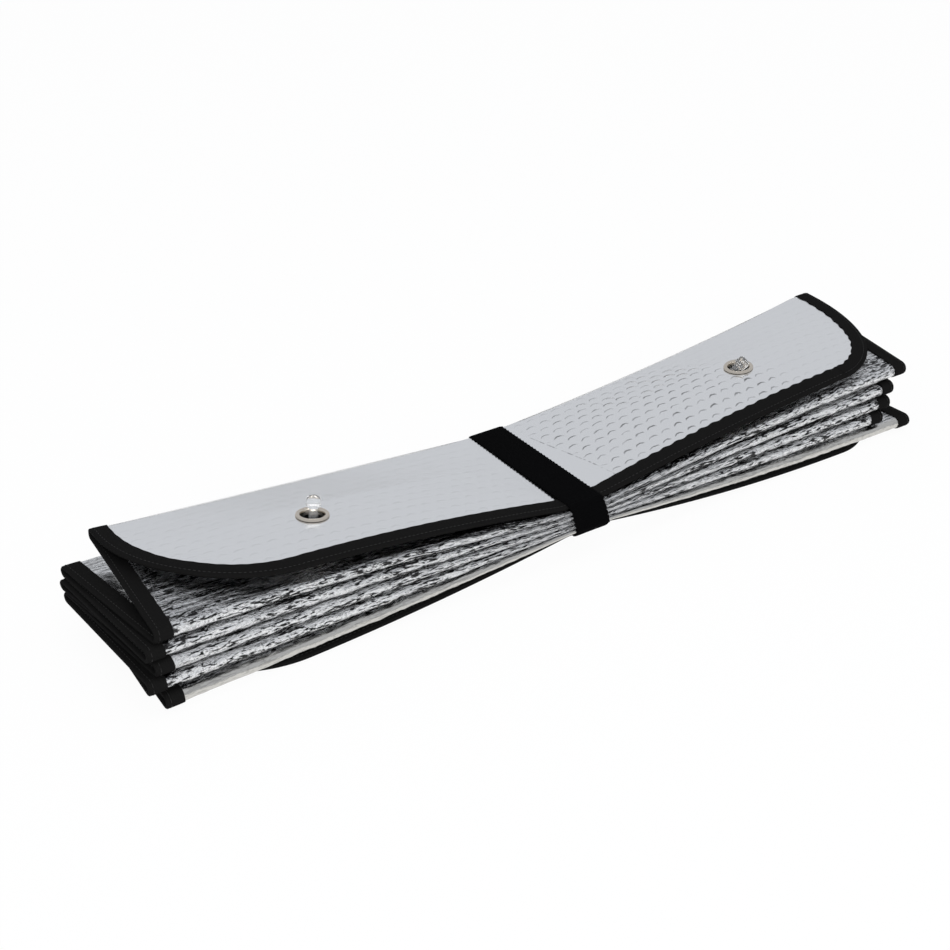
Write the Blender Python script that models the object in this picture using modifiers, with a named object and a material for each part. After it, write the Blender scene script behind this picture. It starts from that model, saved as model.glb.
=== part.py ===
"""A folding windscreen sunshade, folded up and held by its elastic strap.

The shade is one sheet of foil bubble film, folded like a concertina. It lies with its length along X, its
folds along the back (+Y) and the front (-Y), and its free edges at the front. The strap squeezes the middle,
so the layers fan out towards both ends. The model stands on Z = 0, centred on the origin.
"""

import collections
import math

import bmesh
import bpy
from mathutils import Matrix, Vector
from mathutils.geometry import convex_hull_2d

COLLECTION = "windscreen_sunshade"

# The flat sheet: length across the windscreen's height, and panels between folds.
LENGTH = 0.600
PANELS = 12
PANEL = 0.112
EDGE_PANEL = 0.108
CORNER_MARGIN = 0.012
LEFT_CORNER = 0.090
RIGHT_CORNER = 0.065
SHEET = 0.0010

# The tape folded over the edge of the sheet.
TAPE = 0.0004
TAPE_WIDTH = 0.011

# Clearance between pieces that touch, and between layers of the sheet under the strap.
SEAT = 0.0003
LAYER_GAP = 0.00025

# How the pack lies: fold radii where it is open, height under the strap, and lean of the lower layers.
FRONT_RADIUS = 0.0036
BACK_RADIUS = 0.0025
MIDDLE_RISE = 0.0150
LEAN = 0.008
LEFT_ARCH = 0.0055
RIGHT_ARCH = 0.0100
SETTLED = 0.85
RIGHT_FLAT = 0.014

# Heights of the top back fold and the free top edge at each end.
LEFT_TOP_FOLD = 0.0570
LEFT_TOP_EDGE = 0.0640
RIGHT_TOP_FOLD = 0.0635
RIGHT_TOP_EDGE = 0.0620

# The strap.
STRAP = 0.0010
STRAP_WIDTH = 0.0265
STRAP_OFFSET = 0.0035
STRAP_LAP = 0.022
STRAP_MARGIN = 0.0045

# The eyelets: spacing, distance from the free edge, and the pressed metal.
EYELET_SPACING = 0.345
EYELET_OFFSET = 0.005
EYELET_INSET = 0.046
EYELET_BORE = 0.0143
EYELET_FLANGE = 0.0210
EYELET_METAL = 0.0004
WASHER = 0.0004
WASHER_WIDTH = 0.0026
EYELET_SEAT = 0.014

# The suction cups.
CUP_DIAMETER = 0.030
CUP_DEPTH = 0.0055
CUP_WALL = 0.0014
NECK_DIAMETER = 0.0056
NECK_LENGTH = 0.0115
KNOB_DIAMETER = 0.0090
KNOB_LENGTH = 0.0072
RIGHT_NECK_BEND = math.radians(52)
RIGHT_NECK_AZIMUTH = math.radians(-28)
RIGHT_CUP_SHIFT = Vector((-0.0030, 0.0012, 0))

ROUND_STEPS = 20
FOLD_STEPS = 4
CORNER_STEPS = 5
OUTER_STEPS = 3
INNER_STEPS = 3

# What differs between the two ends: the top heights, the length of the rounded corners, the bow of the
# lines on the way there, and how far each fold strays from an even fan, upwards and along the pack, taken
# in turn from the top.
End = collections.namedtuple("End", "top_fold top_edge corner arch back_bow front_bow foot_bow strays shifts")
LEFT = End(
    top_fold=LEFT_TOP_FOLD,
    top_edge=LEFT_TOP_EDGE,
    corner=LEFT_CORNER,
    arch=LEFT_ARCH,
    back_bow=-0.2,
    front_bow=0.85,
    foot_bow=0.6,
    strays=(0.0, 0.0, -0.006, -0.009, -0.002, -0.006, 0.0, -0.008, 0.001),
    shifts=(0.008, 0.016, 0.005, -0.004, -0.001, -0.006, 0.003, -0.005, -0.003, 0.006, 0.006, 0.012),
)
RIGHT = End(
    top_fold=RIGHT_TOP_FOLD,
    top_edge=RIGHT_TOP_EDGE,
    corner=RIGHT_CORNER,
    arch=RIGHT_ARCH,
    back_bow=-0.65,
    front_bow=0.48,
    foot_bow=1.0,
    strays=(0.0, 0.0, -0.008, -0.004, -0.007, -0.004, -0.005, -0.003, -0.004),
    shifts=(0.002, 0.001, -0.005, -0.006, -0.017, -0.010, -0.020, -0.012, -0.027, -0.006, 0.002, 0.000),
)

CORNER_ACROSS = EDGE_PANEL - CORNER_MARGIN
LAYER_PITCH = SHEET + LAYER_GAP
BOUND_HALF = SHEET / 2 + SEAT + TAPE
EDGE_PITCH = BOUND_HALF + SEAT + SHEET / 2
STRAP_RIGHT = LENGTH / 2 + STRAP_OFFSET + STRAP_WIDTH / 2
SPREAD_LEFT = STRAP_RIGHT - STRAP_WIDTH - STRAP_MARGIN
SPREAD_RIGHT = STRAP_RIGHT + STRAP_MARGIN


def lerp(a, b, t):
    return a + (b - a) * t


def fold_position(fold):
    """Distance of a fold, or of a free edge, along the flat sheet from its first free edge."""
    if fold == 0:
        return 0.0
    whole = EDGE_PANEL + (fold - 1) * PANEL
    return whole if fold < PANELS else whole - PANEL + EDGE_PANEL


FLAT_WIDTH = fold_position(PANELS)
FOLD_HALF = math.pi * FRONT_RADIUS / 2


def is_edge(fold):
    return fold in (0, PANELS)


def least_gap(lower, upper, radius):
    """Height that a fold or free edge needs over the next one below it on the same side."""
    if is_edge(lower) or is_edge(upper):
        return EDGE_PITCH + radius
    return 2 * radius + LAYER_PITCH


def middle_heights():
    """Height of every fold and free edge under the strap, stacked tight at the back and at the front."""
    stacks = {}
    for side in (0, 1):
        folds = [fold for fold in range(PANELS, -1, -1) if fold % 2 == side]
        height = 0.0
        stack = {folds[0]: height}
        for lower, upper in zip(folds, folds[1:]):
            height += least_gap(lower, upper, LAYER_PITCH / 2)
            stack[upper] = height
        stacks[side] = stack
    tallest = max(max(stack.values()) for stack in stacks.values())
    foot = MIDDLE_RISE + 2 * STRAP + SEAT + BOUND_HALF
    heights = {}
    for stack in stacks.values():
        lift = foot + tallest - max(stack.values())
        heights.update({fold: lift + height for fold, height in stack.items()})
    return heights


def open_radius(fold):
    return BACK_RADIUS if fold % 2 else FRONT_RADIUS


def end_heights(end):
    """Height of every fold and free edge at one end: an even fan that strays, each on the one below."""
    heights = {PANELS: BOUND_HALF, PANELS - 1: BOUND_HALF + BACK_RADIUS}
    foot = 3 * BOUND_HALF + SEAT + FRONT_RADIUS
    for fold in range(PANELS - 2, 0, -1):
        even = lerp(end.top_fold, foot, (fold - 1) / (PANELS - 3))
        strayed = even + end.strays[fold % len(end.strays)]
        room = 2 * (open_radius(fold) + BOUND_HALF) + SEAT
        lowest = heights[fold + 2] + room if fold < PANELS - 2 else foot
        heights[fold] = max(strayed, lowest)
    heights[0] = max(end.top_edge, heights[2] + 2 * (FRONT_RADIUS + BOUND_HALF) + SEAT)
    return heights


MIDDLE = middle_heights()
ENDS = {LEFT: end_heights(LEFT), RIGHT: end_heights(RIGHT)}


def spread(along):
    """The nearer end, and how far the place is from the strap to that end, from 0 to 1."""
    if along < SPREAD_LEFT:
        return LEFT, min(1.0, (SPREAD_LEFT - along) / SPREAD_LEFT)
    return RIGHT, min(1.0, max(0.0, (along - SPREAD_RIGHT) / (LENGTH - RIGHT_FLAT - SPREAD_RIGHT)))


def height_of(fold, along):
    end, reach = spread(along)
    if fold >= PANELS - 1:
        reach = min(1.0, reach / SETTLED)
        bow = 1.0
    else:
        top_bow = end.back_bow if fold % 2 else end.front_bow
        bow = lerp(end.foot_bow, top_bow, (PANELS - fold) / PANELS)
    rise = reach + bow * reach * (1 - reach)
    height = lerp(MIDDLE[fold], ENDS[end][fold], rise)
    if fold >= PANELS - 1:
        return height
    below = height_of(fold + 2, along)
    return max(height, below + least_gap(fold + 2, fold, fold_radius(fold, along)))


def fold_radius(fold, along):
    end, reach = spread(along)
    bow = end.back_bow if fold % 2 else end.front_bow
    return lerp(LAYER_PITCH / 2, open_radius(fold), reach + bow * reach * (1 - reach))


def fold_centre(fold, along):
    """Y and Z of the centre that the sheet turns about at a fold."""
    side = 1 if fold % 2 else -1
    half_flat = (PANEL - math.pi * fold_radius(fold, along)) / 2
    return side * half_flat - LEAN * fold / PANELS, height_of(fold, along)


def panel_end(panel, fold, along):
    """Y and Z of the end of a panel's flat stretch, at one of its two folds or at its free edge."""
    if is_edge(fold):
        inner = 1 if fold == 0 else PANELS - 1
        side = 1 if fold % 2 else -1
        y = fold_centre(inner, along)[0]
        reach = EDGE_PANEL - math.pi * fold_radius(inner, along) / 2
        return y + side * reach, height_of(fold, along)
    y, z = fold_centre(fold, along)
    radius = fold_radius(fold, along)
    return y, z + radius if panel == fold else z - radius


def end_of_sheet(end, across, inset):
    """Where a row of the sheet ends. The ends don't all lie in line, so each fold strays by its shift."""
    place = min(max(place_of(across), 0.0), PANELS)
    fold = min(int(place), PANELS - 1)
    here, after = (end.shifts[number % len(end.shifts)] for number in (fold, fold + 1))
    shift = lerp(here, after, place - fold)
    return inset + shift if end is LEFT else LENGTH - inset + shift


def place_of(across):
    """Fold number at a distance along the flat sheet, with the panels' stretches in between."""
    fold = 0
    while fold < PANELS - 1 and across > fold_position(fold + 1):
        fold += 1
    return fold + (across - fold_position(fold)) / (fold_position(fold + 1) - fold_position(fold))


def section_point(across, along):
    """Y and Z of the middle of the sheet's thickness."""
    panel = min(int(place_of(across)), PANELS - 1) + 1
    start = fold_position(panel - 1) + (0 if panel == 1 else FOLD_HALF)
    stop = fold_position(panel) - (0 if panel == PANELS else FOLD_HALF)
    if start <= across <= stop or (panel == 1 and across < 0) or (panel == PANELS and across > stop):
        t = (across - start) / (stop - start)
        y0, z0 = panel_end(panel, panel - 1, along)
        y1, z1 = panel_end(panel, panel, along)
        arch = arch_of(across, along) if panel == 1 else 0.0
        return lerp(y0, y1, t), lerp(z0, z1, t) + arch
    fold = panel - 1 if across < start else panel
    angle = (across - fold_position(fold)) / FOLD_HALF * math.pi / 2
    radius = fold_radius(fold, along)
    y, z = fold_centre(fold, along)
    side = 1 if fold % 2 else -1
    return y + side * radius * math.cos(angle), z - radius * math.sin(angle)


def arch_of(across, along):
    """The first panel bulges over the suction cups, with a flat top where the eyelets sit."""
    end, reach = spread(along)
    near_ramp = across / (EYELET_INSET - EYELET_SEAT)
    far_ramp = (EDGE_PANEL - across) / (EDGE_PANEL - EYELET_INSET - EYELET_SEAT)
    return end.arch * 4 * reach * (1 - reach) * min(1.0, near_ramp, far_ramp)


def sheet_point(across, along):
    """A point of the flat sheet, carried to its place in the folded pack."""
    y, z = section_point(across, along)
    return Vector((along - LENGTH / 2, y, z))


def sheet_frame(across, along, step=0.0002):
    """The point, the direction along the pack and the normal there, as a secant plane over the step."""
    ahead = sheet_point(across, along + step)
    behind = sheet_point(across, along - step)
    crosswise = sheet_point(across + step, along) - sheet_point(across - step, along)
    lengthwise = ahead - behind
    normal = lengthwise.cross(crosswise).normalized()
    return (ahead + behind) / 2, lengthwise.normalized(), normal


def edge_panel_rows():
    """Rows of the first panel, from its free edge: turn of the rounded corner and plain distances."""
    turns = [math.pi / 2 * step / CORNER_STEPS for step in range(CORNER_STEPS + 1)]
    plain = []
    for across in (EYELET_INSET - EYELET_SEAT, EYELET_INSET + EYELET_SEAT):
        cosine = 1 - (across - TAPE_WIDTH) / (CORNER_ACROSS - TAPE_WIDTH)
        if cosine > 0:
            turns.append(math.acos(cosine))
        else:
            plain.append(across)
    return sorted(turns), plain


def corner_row(turn, far):
    """A row that ends on rounded corners: its distance across and its insets at the left and right end,
    first on the outline and then along the tape's inner edge."""
    places = []
    for depth in (0.0, TAPE_WIDTH):
        across = depth + (CORNER_ACROSS - depth) * (1 - math.cos(turn))
        insets = [depth + (end.corner - depth) * (1 - math.sin(turn)) for end in (LEFT, RIGHT)]
        places.append((FLAT_WIDTH - across if far else across, *insets))
    return places


def sheet_rows():
    """Rows of the mesh across the flat sheet, each as its place on the outline and inside the tape."""
    turns, plain = edge_panel_rows()
    rows = [corner_row(turn, far=False) for turn in turns]
    for fold in range(1, PANELS):
        for step in range(FOLD_STEPS + 1):
            plain.append(fold_position(fold) + FOLD_HALF * (2 * step / FOLD_STEPS - 1))
    rows += [[(across, 0.0, 0.0), (across, TAPE_WIDTH, TAPE_WIDTH)] for across in plain]
    far_turns = [math.pi / 2 * step / CORNER_STEPS for step in range(CORNER_STEPS, -1, -1)]
    return rows + [corner_row(turn, far=True) for turn in far_turns]


def row_points(row):
    """The (across, along) places of a row: on the outline, inside the tape all along, and on the outline."""
    (edge, left_edge, right_edge), (across, left_inside, right_inside) = row
    left = stations(end_of_sheet(LEFT, edge, left_inside), -1, SPREAD_LEFT)
    right = stations(end_of_sheet(RIGHT, edge, right_inside), 1, SPREAD_RIGHT)
    alongs = left + [lerp(SPREAD_LEFT, STRAP_RIGHT, 0.5), STRAP_RIGHT] + right[::-1]
    points = [(edge, end_of_sheet(LEFT, edge, left_edge))]
    points += [(across, along) for along in alongs]
    return points + [(edge, end_of_sheet(RIGHT, edge, right_edge))]


def stations(start, side, stop):
    """Places from the tape to the strap, with one on either side of the eyelet."""
    outer = eyelet_along(side) + side * EYELET_SEAT
    inner = eyelet_along(side) - side * EYELET_SEAT
    places = [lerp(start, outer, step / OUTER_STEPS) for step in range(OUTER_STEPS + 1)]
    return places + [lerp(inner, stop, step / INNER_STEPS) for step in range(INNER_STEPS + 1)]


def sheet_grid():
    """All rows of (across, along) places, with the free edges themselves as the first and last row."""
    grid = [row_points(row) for row in sheet_rows()]
    edges = []
    for across, row in ((0.0, grid[0]), (FLAT_WIDTH, grid[-1])):
        edges.append([row[0]] + [(across, along) for _, along in row[1:-1]] + [row[-1]])
    return [edges[0]] + grid + [edges[1]]


def eyelet_along(side):
    return LENGTH / 2 + EYELET_OFFSET + side * EYELET_SPACING / 2


def new_object(name, points, faces, collection):
    mesh = bpy.data.meshes.new(name)
    mesh.from_pydata(points, [], faces)
    mesh.update()
    obj = bpy.data.objects.new(name, mesh)
    collection.objects.link(obj)
    return obj


def grid_faces(rows, columns, closed_rows=False):
    count = rows if closed_rows else rows - 1
    faces = []
    for row in range(count):
        after = (row + 1) % rows
        for column in range(columns - 1):
            corners = [
                row * columns + column,
                row * columns + column + 1,
                after * columns + column + 1,
                after * columns + column,
            ]
            faces.append(corners)
    return faces


def sheet_faces(grid):
    """Triangles of the sheet's grid. All panels are split the same way in space, so none cuts the next."""
    triangles = []
    columns = len(grid[0])
    for face in grid_faces(len(grid), columns):
        first, second, third, fourth = face
        across = (grid[first // columns][1][0] + grid[third // columns][1][0]) / 2
        if int(place_of(across)) % 2:
            triangles += [(first, second, fourth), (second, third, fourth)]
        else:
            triangles += [(first, second, third), (first, third, fourth)]
    return triangles


def solidify(obj, thickness):
    modifier = obj.modifiers.new("thickness", "SOLIDIFY")
    modifier.thickness = thickness
    modifier.offset = 0.0
    modifier.use_even_offset = True
    modifier.use_quality_normals = True


def cut(obj, cutter):
    modifier = obj.modifiers.new("cut", "BOOLEAN")
    modifier.operation = "DIFFERENCE"
    modifier.solver = "EXACT"
    modifier.object = cutter


def make_material(name, colour, roughness, metallic=0.0, transmission=0.0):
    material = bpy.data.materials.new(name)
    material.use_nodes = True
    shader = material.node_tree.nodes["Principled BSDF"]
    shader.inputs["Base Color"].default_value = (*colour, 1.0)
    shader.inputs["Roughness"].default_value = roughness
    shader.inputs["Metallic"].default_value = metallic
    shader.inputs["Transmission Weight"].default_value = transmission
    return material


def make_sheet(collection):
    """The folded sheet, as a surface through the middle of the film with its thickness added."""
    grid = sheet_grid()
    points = [sheet_point(*place) for row in grid for place in row]
    sheet = new_object("foil_sheet", points, sheet_faces(grid), collection)
    weld(sheet)
    solidify(sheet, SHEET)
    return sheet


def weld(obj):
    """Joins the points that the grid repeats where its corners are cut off."""
    mesh = bmesh.new()
    mesh.from_mesh(obj.data)
    bmesh.ops.remove_doubles(mesh, verts=mesh.verts, dist=0.00001)
    mesh.to_mesh(obj.data)
    mesh.free()


def edge_line():
    """Pairs of (across, along) places on the outline and inside the tape, once round the sheet."""
    grid = sheet_grid()
    rows = grid[1:-1]
    left = [(row[0], row[1]) for row in rows]
    right = [(row[-1], row[-2]) for row in rows]
    far_edge = list(zip(grid[-1], grid[-2]))[2:-2]
    near_edge = list(zip(grid[0], grid[1]))[2:-2]
    return left + far_edge + right[::-1] + near_edge[::-1]


def make_binding(collection):
    """The tape, folded over the edge: a strip with a U section, led once round the outline."""
    leg = SHEET / 2 + SEAT + TAPE / 2
    turn = SEAT + TAPE / 2
    points = []
    line = edge_line()
    for outline, inside in line:
        beyond = [lerp(inside[axis], outline[axis], 1 + turn / TAPE_WIDTH) for axis in (0, 1)]
        for place, height in ((inside, leg), (beyond, leg), (beyond, -leg), (inside, -leg)):
            point, _, normal = sheet_frame(*place)
            points.append(point + normal * height)
    binding = new_object("edge_binding", points, grid_faces(len(line), 4, True), collection)
    solidify(binding, TAPE)
    return binding


def pack_outline(along, margin):
    """The convex outline round the pack's section, a margin clear of it, as (Y, Z) points."""
    round_points = []
    for fold in range(PANELS + 1):
        if is_edge(fold):
            y, z = panel_end(1 if fold == 0 else PANELS, fold, along)
            out = (SEAT + TAPE) * (1 if fold % 2 else -1)
            discs = [(y + out, z + BOUND_HALF, margin), (y + out, z - BOUND_HALF, margin)]
        else:
            reach = fold_radius(fold, along) + SHEET / 2
            discs = [(*fold_centre(fold, along), reach + margin)]
        for y, z, radius in discs:
            for step in range(16):
                angle = math.tau * step / 16
                round_points.append(Vector((y + radius * math.cos(angle), z + radius * math.sin(angle))))
    return [round_points[index] for index in convex_hull_2d(round_points)]


def make_strap(collection, cutters):
    """The elastic band: a loop drawn tight round the pack, its ends lapped and sewn underneath."""
    middle = LENGTH / 2 + STRAP_OFFSET
    outline = pack_outline(middle, SEAT + STRAP / 2)
    points = []
    for y, z in outline:
        for side in (-1, 1):
            points.append((STRAP_OFFSET + side * STRAP_WIDTH / 2, y, z))
    strap = new_object("elastic_strap", points, grid_faces(len(outline), 2, True), collection)
    solidify(strap, STRAP)
    lap = make_lap(outline, cutters)
    join = strap.modifiers.new("lap", "BOOLEAN")
    join.operation = "UNION"
    join.solver = "EXACT"
    join.object = lap
    return strap


def make_lap(outline, cutters):
    """The second layer where the band's ends overlap, on the flat of the loop's underside."""
    flats = zip(outline, outline[1:] + outline[:1])
    underside = min(flats, key=lambda pair: (pair[0][1] + pair[1][1]) / 2 - (pair[0] - pair[1]).length)
    start, stop = sorted(underside, key=lambda point: point[0])
    slope = (stop - start).normalized()
    outward = Vector((slope[1], -slope[0]))
    centre = (start + stop) / 2 + outward * STRAP * 0.8
    bpy.ops.mesh.primitive_cube_add(size=1)
    lap = bpy.context.object
    lap.name = "strap_lap"
    lap.matrix_world = (
        Matrix.Translation((STRAP_OFFSET, centre[0], centre[1]))
        @ Matrix.Rotation(math.atan2(slope[1], slope[0]), 4, "X")
        @ Matrix.Diagonal((STRAP_WIDTH - 2 * SEAT, STRAP_LAP, STRAP, 1))
    )
    move_to(lap, cutters)
    return lap


def move_to(obj, collection):
    for owner in list(obj.users_collection):
        owner.objects.unlink(obj)
    collection.objects.link(obj)


def eyelet_place(side):
    """Matrix of an eyelet: its axis is the normal of the first panel at its centre."""
    point, lengthwise, normal = sheet_frame(EYELET_INSET, eyelet_along(side), EYELET_SEAT)
    across = normal.cross(lengthwise)
    rotation = Matrix((lengthwise, across, normal)).transposed().to_4x4()
    return Matrix.Translation(point) @ rotation


def turned(name, profile, place, collection, closed=False):
    """A profile of (radius, height) points turned about its own Z axis."""
    points = [(radius, 0.0, height) for radius, height in profile]
    edges = [(index, index + 1) for index in range(len(points) - 1)]
    if closed:
        edges.append((len(points) - 1, 0))
    mesh = bpy.data.meshes.new(name)
    mesh.from_pydata(points, edges, [])
    obj = bpy.data.objects.new(name, mesh)
    collection.objects.link(obj)
    obj.matrix_world = place
    screw = obj.modifiers.new("turn", "SCREW")
    screw.steps = ROUND_STEPS
    screw.render_steps = ROUND_STEPS
    screw.use_merge_vertices = True
    screw.merge_threshold = 0.00001
    return obj


def make_eyelet(name, place, collection):
    """A pressed barrel with a domed flange on top, rolled outwards over the washer underneath."""
    bore = EYELET_BORE / 2 + EYELET_METAL / 2
    flange = EYELET_FLANGE / 2 - EYELET_METAL / 2
    top = SHEET / 2 + SEAT + EYELET_METAL / 2
    foot = -(SHEET / 2 + 2 * SEAT + WASHER + EYELET_METAL / 2)
    width = flange - bore
    profile = (
        (flange, top),
        (flange - 0.15 * width, top + 0.22 * width),
        (flange - 0.5 * width, top + 0.34 * width),
        (bore + 0.15 * width, top + 0.18 * width),
        (bore, top - 0.15 * width),
        (bore, foot + 0.15 * width),
        (bore + 0.12 * width, foot - 0.1 * width),
        (bore + 0.42 * width, foot - 0.12 * width),
    )
    eyelet = turned(name, profile, place, collection)
    solidify(eyelet, EYELET_METAL)
    return eyelet


def make_washer(name, place, collection):
    """The flat ring that spreads the rolled barrel's pull on the film."""
    inner = EYELET_BORE / 2 + EYELET_METAL + SEAT
    outer = inner + WASHER_WIDTH
    top = -(SHEET / 2 + SEAT)
    profile = ((outer, top), (outer, top - WASHER), (inner, top - WASHER), (inner, top))
    return turned(name, profile, place, collection, closed=True)


def eyelet_cutter(place, cutters):
    bpy.ops.mesh.primitive_cylinder_add(
        vertices=ROUND_STEPS,
        radius=EYELET_BORE / 2 + EYELET_METAL + SEAT,
        depth=6 * SHEET,
    )
    cutter = bpy.context.object
    cutter.name = "eyelet_hole"
    cutter.matrix_world = place
    move_to(cutter, cutters)
    return cutter


def cup_profile():
    """Half section of a suction cup, from the middle of its top to the middle of its hollow."""
    rim = CUP_DIAMETER / 2
    neck = NECK_DIAMETER / 2
    knob = KNOB_DIAMETER / 2
    under = CUP_DEPTH + NECK_LENGTH
    top = under + KNOB_LENGTH
    profile = [(0.0, top), (0.6 * knob, top - 0.04 * KNOB_LENGTH), (0.92 * knob, top - 0.16 * KNOB_LENGTH)]
    profile += [(knob, top - 0.35 * KNOB_LENGTH), (knob, under + 0.12 * KNOB_LENGTH), (0.9 * knob, under)]
    shoulder = CUP_DEPTH + neck / 2
    profile += [(neck, lerp(under, shoulder, step / 5)) for step in range(6)]
    profile += [(1.3 * neck, CUP_DEPTH - 0.1 * CUP_WALL), (0.5 * rim, 0.8 * CUP_DEPTH)]
    profile += [(0.8 * rim, 0.45 * CUP_DEPTH), (rim, 0.1 * CUP_DEPTH), (0.985 * rim, 0.0)]
    hollow = CUP_DEPTH - CUP_WALL
    profile += [(0.75 * rim, 0.35 * hollow), (0.4 * rim, 0.8 * hollow), (0.0, hollow)]
    return profile


def bend_neck(obj, bend, azimuth):
    """Bends a turned cup's neck over, keeping its length."""
    start = CUP_DEPTH + NECK_DIAMETER / 4
    stop = CUP_DEPTH + NECK_LENGTH
    radius = (stop - start) / bend
    turn = Matrix.Rotation(azimuth, 3, "Z")
    for vertex in obj.data.vertices:
        point = turn.inverted() @ vertex.co
        if point.z <= start:
            continue
        angle = min(point.z - start, stop - start) / radius
        beyond = max(point.z - stop, 0.0)
        arm = radius - point.x
        x = radius - arm * math.cos(angle) + beyond * math.sin(angle)
        z = start + arm * math.sin(angle) + beyond * math.cos(angle)
        vertex.co = turn @ Vector((x, point.y, z))


def make_cup(name, side, collection):
    """A clear soft cup that lies on the second panel, its knob up through the eyelet."""
    along = eyelet_along(side)
    over = sheet_point(EYELET_INSET, along)
    under, lengthwise, normal = sheet_frame(2 * EDGE_PANEL - EYELET_INSET, along, EYELET_SEAT)
    up = -normal
    across = up.cross(lengthwise)
    rotation = Matrix((lengthwise, across, up)).transposed().to_4x4()
    shift = RIGHT_CUP_SHIFT if side > 0 else Vector((0, 0, 0))
    base = Vector((over.x, over.y, under.z)) + shift + up * (SHEET / 2 + SEAT)
    place = Matrix.Translation(base) @ rotation
    cup = turned(name, cup_profile(), place, collection)
    bpy.context.view_layer.update()
    evaluated = cup.evaluated_get(bpy.context.evaluated_depsgraph_get())
    cup.data = bpy.data.meshes.new_from_object(evaluated)
    cup.modifiers.clear()
    if side > 0:
        bend_neck(cup, RIGHT_NECK_BEND, RIGHT_NECK_AZIMUTH)
    return cup


def centre_on_floor(collection):
    """Puts the middle of the object's footprint on the origin and its lowest point on Z = 0."""
    bpy.context.view_layer.update()
    graph = bpy.context.evaluated_depsgraph_get()
    corners = []
    for obj in collection.objects:
        evaluated = obj.evaluated_get(graph)
        mesh = evaluated.to_mesh()
        corners += [evaluated.matrix_world @ vertex.co for vertex in mesh.vertices]
        evaluated.to_mesh_clear()
    low = Vector([min(corner[axis] for corner in corners) for axis in range(3)])
    high = Vector([max(corner[axis] for corner in corners) for axis in range(3)])
    shift = Matrix.Translation((-(low.x + high.x) / 2, -(low.y + high.y) / 2, -low.z))
    for obj in bpy.data.objects:
        obj.matrix_world = shift @ obj.matrix_world


def new_collection(name, helper=False):
    collection = bpy.data.collections.new(name)
    bpy.context.scene.collection.children.link(collection)
    collection.hide_render = helper
    return collection


def assign(obj, material):
    obj.data.materials.clear()
    obj.data.materials.append(material)
    obj.data.shade_smooth()
    obj.data.set_sharp_from_angle(angle=math.radians(35))


def main():
    for obj in list(bpy.data.objects):
        bpy.data.objects.remove(obj)
    parts = new_collection(COLLECTION)
    cutters = new_collection("cutters", helper=True)
    foil = make_material("foil", (0.78, 0.79, 0.80), 0.32, metallic=0.9)
    black_tape = make_material("black_tape", (0.02, 0.02, 0.02), 0.85)
    black_elastic = make_material("black_elastic", (0.008, 0.008, 0.009), 0.9)
    nickel = make_material("nickel", (0.62, 0.55, 0.45), 0.2, metallic=1.0)
    clear_plastic = make_material("clear_plastic", (0.92, 0.94, 0.95), 0.08, transmission=1.0)

    sheet = make_sheet(parts)
    assign(sheet, foil)
    assign(make_binding(parts), black_tape)
    assign(make_strap(parts, cutters), black_elastic)
    for side, word in ((-1, "left"), (1, "right")):
        place = eyelet_place(side)
        cut(sheet, eyelet_cutter(place, cutters))
        assign(make_eyelet(f"eyelet_{word}", place, parts), nickel)
        assign(make_washer(f"washer_{word}", place, parts), nickel)
        assign(make_cup(f"suction_cup_{word}", side, parts), clear_plastic)
    for cutter in cutters.objects:
        cutter.hide_render = True
        cutter.display_type = "WIRE"
    centre_on_floor(parts)


main()
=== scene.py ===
import collections
import math

import bmesh
import bpy
import numpy as np
from mathutils import Matrix, Vector, noise
from mathutils.geometry import convex_hull_2d


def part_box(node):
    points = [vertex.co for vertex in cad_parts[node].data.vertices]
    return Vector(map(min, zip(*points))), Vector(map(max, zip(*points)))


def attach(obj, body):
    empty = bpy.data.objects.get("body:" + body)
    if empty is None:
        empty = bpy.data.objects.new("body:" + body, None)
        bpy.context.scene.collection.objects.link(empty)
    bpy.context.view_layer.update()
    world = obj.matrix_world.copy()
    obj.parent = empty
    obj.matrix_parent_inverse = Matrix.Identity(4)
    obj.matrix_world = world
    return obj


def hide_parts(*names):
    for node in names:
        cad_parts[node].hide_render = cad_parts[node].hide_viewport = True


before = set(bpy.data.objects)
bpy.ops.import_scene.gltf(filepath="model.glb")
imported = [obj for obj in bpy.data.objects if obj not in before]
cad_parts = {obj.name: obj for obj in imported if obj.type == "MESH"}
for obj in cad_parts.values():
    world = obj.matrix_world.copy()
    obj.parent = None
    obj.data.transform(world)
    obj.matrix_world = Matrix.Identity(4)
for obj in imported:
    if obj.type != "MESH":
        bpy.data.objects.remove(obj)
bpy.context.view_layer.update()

# The folded sheet, with the same sizes as its solids. Lengths are in metres.
LENGTH = 0.600
PANELS = 12
PANEL = 0.112
EDGE_PANEL = 0.108
CORNER_MARGIN = 0.012
SHEET = 0.0010
TAPE = 0.0004
TAPE_WIDTH = 0.011
SEAT = 0.0003
LAYER_GAP = 0.00025
FRONT_RADIUS = 0.0036
BACK_RADIUS = 0.0025
MIDDLE_RISE = 0.0150
LEAN = 0.008
SETTLED = 0.85
RIGHT_FLAT = 0.014
STRAP = 0.0010
STRAP_WIDTH = 0.0265
STRAP_OFFSET = 0.0035
STRAP_MARGIN = 0.0045
EYELET_SPACING = 0.345
EYELET_OFFSET = 0.005
EYELET_INSET = 0.046
EYELET_BORE = 0.0143
EYELET_FLANGE = 0.0210
EYELET_METAL = 0.0004
WASHER = 0.0004
WASHER_WIDTH = 0.0026
EYELET_SEAT = 0.014
CUP_DIAMETER = 0.030
CUP_DEPTH = 0.0055
CUP_WALL = 0.0014
NECK_DIAMETER = 0.0056
NECK_LENGTH = 0.0115
KNOB_DIAMETER = 0.0090
KNOB_LENGTH = 0.0072
RIGHT_NECK_BEND = math.radians(52)
RIGHT_NECK_AZIMUTH = math.radians(-28)
RIGHT_CUP_SHIFT = Vector((-0.0030, 0.0012, 0))

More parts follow.
